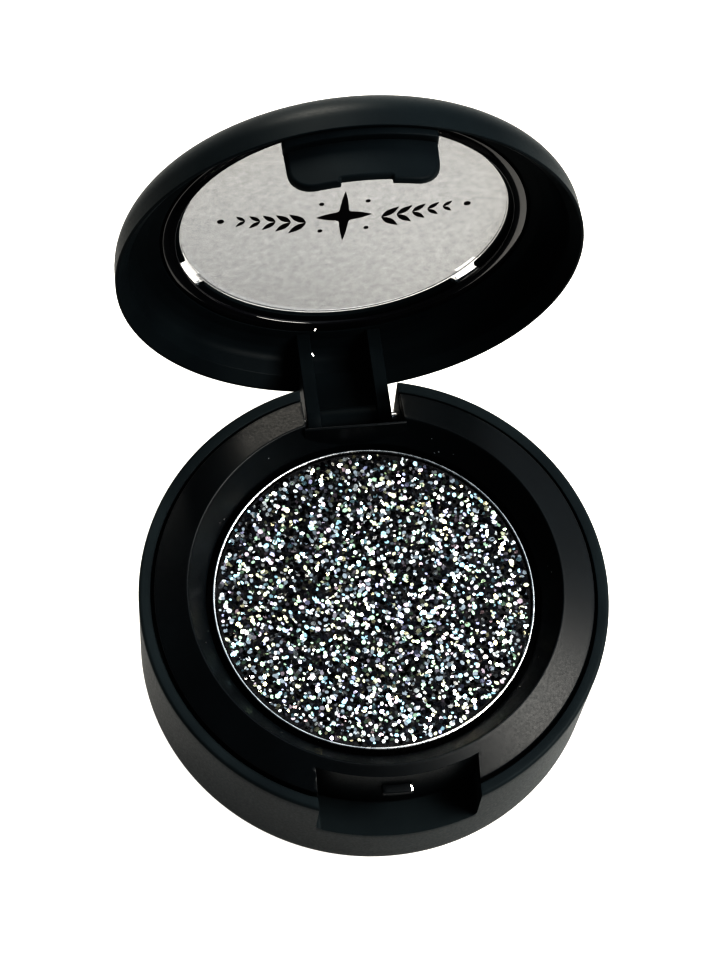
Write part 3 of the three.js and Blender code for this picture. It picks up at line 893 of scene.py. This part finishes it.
def hinge_rib(side):
    rear = -math.degrees(math.acos((ARM_REAR_Y - PIVOT_Y) / KNUCKLE_R))
    outline = [
        (RIB_FRONT_Y, LID_RIM_Z + RIB_TOP_D),
        *arc(PIVOT_Y, PIVOT_Z, KNUCKLE_R, 180, 360 + rear, 28),
        (ARM_REAR_Y, LID_RIM_Z + ARM_FOOT_D),
        (RIB_TOP_BACK_Y, LID_RIM_Z + RIB_TOP_D),
    ]
    start, end = sorted((side * RIB_INNER, side * RIB_OUTER))
    return prism("rib", outline, "X", start, end, ARM_EDGE)


def hinge_web():
    half = RIB_INNER + 0.05
    low = (-half, WEB_FRONT_Y, PIVOT_Z)
    return block("web", low, (half, ARM_REAR_Y - 0.01, LID_RIM_Z + ARM_FOOT_D - 0.05))


def front_tab():
    """Curved tab that closes the finger notch; its outer face rolls in at the end."""
    relief = TAB_END_Z + TAB_RELIEF_HIGH
    top = LID_RIM_Z + TAB_TOP_D
    outline = rounded([
        (-TAB_ROOT_HALF, top),
        (-TAB_ROOT_HALF, LID_RIM_Z),
        (-TAB_HALF, TAB_END_Z, TAB_CORNER),
        (-TAB_RELIEF_HALF, TAB_END_Z, TAB_FILLET),
        (-TAB_RELIEF_HALF, relief, TAB_FILLET),
        (TAB_RELIEF_HALF, relief, TAB_FILLET),
        (TAB_RELIEF_HALF, TAB_END_Z, TAB_FILLET),
        (TAB_HALF, TAB_END_Z, TAB_CORNER),
        (TAB_ROOT_HALF, LID_RIM_Z),
        (TAB_ROOT_HALF, top),
    ], 8)
    plate = prism("tab", outline, "Y", 0, TAB_OUTER_R - TAB_INNER_R)

    def roll_in(bm):
        outer = [e for e in bm.edges if all(abs(v.co.y) < HAIR for v in e.verts)]
        round_off(bm, outer, TAB_ROLL, segments=5)

    edit(plate, roll_in)
    return bend_to_radius(plate, TAB_OUTER_R)


def tab_shoulder():
    """Thicker root of the tab, just under the lid's rim."""
    half = TAB_ROOT_HALF + 0.05
    outline = rectangle(-half, SHOULDER_LOW, half, LID_RIM_Z + 0.6)
    plate = prism("shoulder", outline, "Y", 0, SHOULDER_R - TAB_INNER_R - 0.1, 0.14)
    return bend_to_radius(plate, SHOULDER_R)


def tab_bead():
    """Bead inside the tab that snaps past the tray's catch."""
    outer = TAB_OUTER_R - 0.2
    outline = rectangle(-BEAD_HALF, BEAD_LOW, BEAD_HALF, BEAD_HIGH)
    plate = prism("bead", outline, "Y", 0, outer - BEAD_TIP_R, 0.12)
    return bend_to_radius(plate, outer)


# ---------------------------------------------------------------- window
def clip_block(name, angle, half, inner, outer, low, high, bevel=0.0):
    """A block at one of the window's clips."""
    outline = rectangle(-half, LID_RIM_Z + low, half, LID_RIM_Z + high)
    piece = prism(name, outline, "Y", inner, outer, bevel)
    piece.data.transform(Matrix.Rotation(math.radians(-angle), 4, "Z"))
    return piece


def lid_window(material):
    pane = lathe("window_pane", rounded([
        (0, LID_RIM_Z + WINDOW_LOW),
        (BEAD_INNER, LID_RIM_Z + WINDOW_LOW, 0.08),
        (BEAD_INNER + 0.1, LID_RIM_Z + BEAD_D, 0.06),
        (BEAD_OUTER, LID_RIM_Z + BEAD_D, 0.06),
        (BEAD_OUTER, LID_RIM_Z + WINDOW_LOW),
        (CLIP_FOOT_R, LID_RIM_Z + WINDOW_LOW),
        (FROST_R, LID_RIM_Z + WINDOW_LOW),
        (WINDOW_R, LID_RIM_Z + WINDOW_LOW, 0.06),
        (WINDOW_R, LID_RIM_Z + WINDOW_HIGH, 0.1),
        (FROST_R, LID_RIM_Z + WINDOW_HIGH),
        (CLIP_FOOT_R, LID_RIM_Z + WINDOW_HIGH),
        (0, LID_RIM_Z + WINDOW_HIGH),
    ]))
    high = WINDOW_LOW + 0.2
    for angle, half in CLIPS:
        clip = clip_block("clip", angle, half, CLIP_INNER, CLIP_OUTER, CLIP_LOW, high, 0.08)
        combine(pane, "UNION", clip)
    layer = pane.data.attributes.new("frosted", "FLOAT", "FACE")
    for i, face in enumerate(pane.data.polygons):
        layer.data[i].value = float(is_frosted(face.center))
    settle(pane, "lid", "lid_window", material, turned=True)


def is_frosted(point):
    """Whether the pane is hazed here, and not at its edge or a clip."""
    radius = math.hypot(point.x, point.y)
    if radius < CLIP_FOOT_R:
        return True
    bearing = math.degrees(math.atan2(point.x, point.y))
    from_clips = [abs(bearing - angle) - math.degrees(half / CLIP_OUTER) for angle, half in CLIPS]
    return radius < FROST_R and min(from_clips) > 0


def window_ring(material):
    low, high = LID_RIM_Z + RING_LOW, LID_RIM_Z + RING_HIGH
    piece = annulus("retaining_ring", RING_INNER, RING_OUTER, low, high, 0.15)
    settle(piece, "lid", "window_ring", material, turned=True)


# ---------------------------------------------------------------- ornament printed on the window
def leaf(x, y, length, width, heading, steps=10):
    """Outline of a pointed leaf that starts at x, y."""
    shares = [i / steps for i in range(steps + 1)]
    side = [(length * t, width * math.sin(math.pi * t) * (1 - 0.35 * t)) for t in shares]
    outline = side + [(u, -v) for u, v in reversed(side[1:-1])]
    cosine, sine = math.cos(heading), math.sin(heading)
    return [(x + u * cosine - v * sine, y + u * sine + v * cosine) for u, v in outline]


def sparkle(x, y, tall, wide, waist, steps=8):
    """Four-pointed star with hollow sides."""
    tips = [(0, tall), (wide, 0), (0, -tall), (-wide, 0)]
    outline = []
    for (ax, ay), (bx, by) in zip(tips, tips[1:] + tips[:1]):
        for i in range(steps):
            t = i / steps
            pull = waist * math.sin(math.pi * t)
            across, up = ax * (1 - t) + bx * t, ay * (1 - t) + by * t
            outline.append((x + across * (1 - pull), y + up * (1 - pull)))
    return outline


def dot(x, y, radius):
    return arc(x, y, radius, 0, 340, 17)


def ornament():
    """A sparkle between two sprigs, in the window's own X and Y."""
    shapes = [sparkle(0, 0, 3.5, 2.3, 0.62)]
    leaf_pairs, first_x, pitch, shrink, lean = 5, 3.1, 1.25, 0.22, 0.75
    for side in (-1, 1):
        outward = math.pi if side < 0 else 0
        for k in range(leaf_pairs):
            x = side * (first_x + pitch * k)
            y = 0.55 - shrink * k
            size = 1.9 - shrink * k
            for turn in (lean, -lean):
                shapes.append(leaf(x, y, size, size * 0.2, outward + turn))
        shapes.append(dot(side * 10.1, -0.5, 0.28))
        shapes.append(dot(side * 1.9, 1.9, 0.2))
        shapes.append(dot(side * 1.9, -1.9, 0.2))
    return shapes


def window_print(material):
    """Ink on the inner face of the window."""
    bm = bmesh.new()
    surface = LID_RIM_Z + WINDOW_LOW
    for outline in ornament():
        layers = [
            [bm.verts.new((x, y + PRINT_Y, z)) for x, y in outline]
            for z in (surface - PRINT_T, surface)
        ]
        bm.faces.new(layers[0])
        bm.faces.new(layers[1][::-1])
        skin(bm, layers, False)
    obj = new_object("window_print", bm)
    settle(obj, "lid", None, material, turned=True)


def hinge_pin(material):
    pin = bar("pin_wire", PIN_R, PIN_HALF, PIN_CHAMFER)
    settle(pin, "base", "hinge_pin", material)


# ---------------------------------------------------------------- the compact
base_shell(moulded_plastic(
    "base_satin_black",
    dark=(0.0105, 0.0142, 0.0162),
    light=(0.0148, 0.02, 0.0222),
    roughness=0.45,
    shine=0.042,
))
pan_tray(moulded_plastic(
    "tray_satin_black",
    dark=(0.0025, 0.0036, 0.0046),
    light=(0.004, 0.006, 0.0075),
    roughness=0.42,
    shine=0.19,
))
pan_glue(cured_glue())
metal_pan(tinplate())
bed_waves = glitter_bed(glitter_binder())
foil = glitter_foil()
glitter_flakes(foil, bed_waves)
stray_flakes(foil)
hinge_pin(drawn_steel())
lid_shell(moulded_plastic(
    "lid_satin_black",
    dark=(0.0052, 0.0076, 0.0092),
    light=(0.008, 0.0113, 0.0131),
    roughness=0.43,
    shine=0.035,
))
lid_window(clear_plastic())
window_ring(polished_plastic())
window_print(printing_ink())


# ---------------------------------------------------------------- floor, light and camera
def floor():
    half, height = 3.0, -0.02 * MM  # just under the base, so that no two faces lie in one plane
    bm = bmesh.new()
    bm.faces.new([bm.verts.new((x, y, height)) for x, y in rectangle(-half, -half, half, half)])
    obj = new_object("floor", bm)
    obj.data.materials.append(pale_card())


def direction(azimuth, elevation):
    """Unit vector towards a place seen at an azimuth (0 is -Y, 90 is +X) and an elevation."""
    a, e = math.radians(azimuth), math.radians(elevation)
    return Vector((math.sin(a) * math.cos(e), -math.cos(a) * math.cos(e), math.sin(e)))


def area_light(name, azimuth, elevation, distance, width, height, power, colour):
    """A rectangle of light that faces the compact; metres and watts."""
    data = bpy.data.lights.new(name, "AREA")
    data.shape = "RECTANGLE"
    data.size, data.size_y = width, height
    data.energy = power
    data.color = colour
    obj = bpy.data.objects.new(name, data)
    obj.location = direction(azimuth, elevation) * distance
    obj.rotation_euler = direction(azimuth, elevation).to_track_quat("Z", "Y").to_euler()
    bpy.context.scene.collection.objects.link(obj)


LIGHTS = (  # name, azimuth, elevation, distance, width, height, watts, colour
    ("key", 76, 48, 0.55, 0.3, 0.3, 5.2, (1.0, 0.96, 0.9)),
    ("panel", 135, 52, 0.8, 1.0, 1.0, 4.0, (0.86, 0.95, 1.0)),
    ("rear_card", 187, 23, 0.6, 0.2, 0.16, 6.5, (1.0, 0.94, 0.85)),
)


def studio():
    for light in LIGHTS:
        area_light(*light)
    world = bpy.data.worlds.new("studio")
    world.use_nodes = True
    background = world.node_tree.nodes["Background"]
    background.inputs["Color"].default_value = (0.82, 0.92, 1.0, 1)
    background.inputs["Strength"].default_value = 0.1
    bpy.context.scene.world = world
    bpy.context.scene.view_settings.view_transform = "Standard"
    bpy.context.scene.view_settings.look = "Very High Contrast"


def camera():
    """Looks down at the pan from the front left, rolled a little, as a hand-held camera is."""
    azimuth, elevation, roll = -14.88, 66.33, math.radians(-9.02)
    target = Vector((0.34, 11.53, 8.0)) * MM
    distance = 373.5 * MM
    back = direction(azimuth, elevation)
    level_up = (Vector((0, 0, 1)) - back * back.z).normalized()
    level_right = level_up.cross(back)
    up = level_up * math.cos(roll) + level_right * math.sin(roll)
    right = level_right * math.cos(roll) - level_up * math.sin(roll)
    data = bpy.data.cameras.new("camera")
    data.lens, data.sensor_width = 168.75, 36
    data.clip_start, data.clip_end = 0.01, 20
    obj = bpy.data.objects.new("camera", data)
    obj.matrix_world = Matrix.Translation(target + back * distance) @ Matrix(
        (right, up, back)
    ).transposed().to_4x4()
    bpy.context.scene.collection.objects.link(obj)
    bpy.context.scene.camera = obj


floor()
studio()
camera()
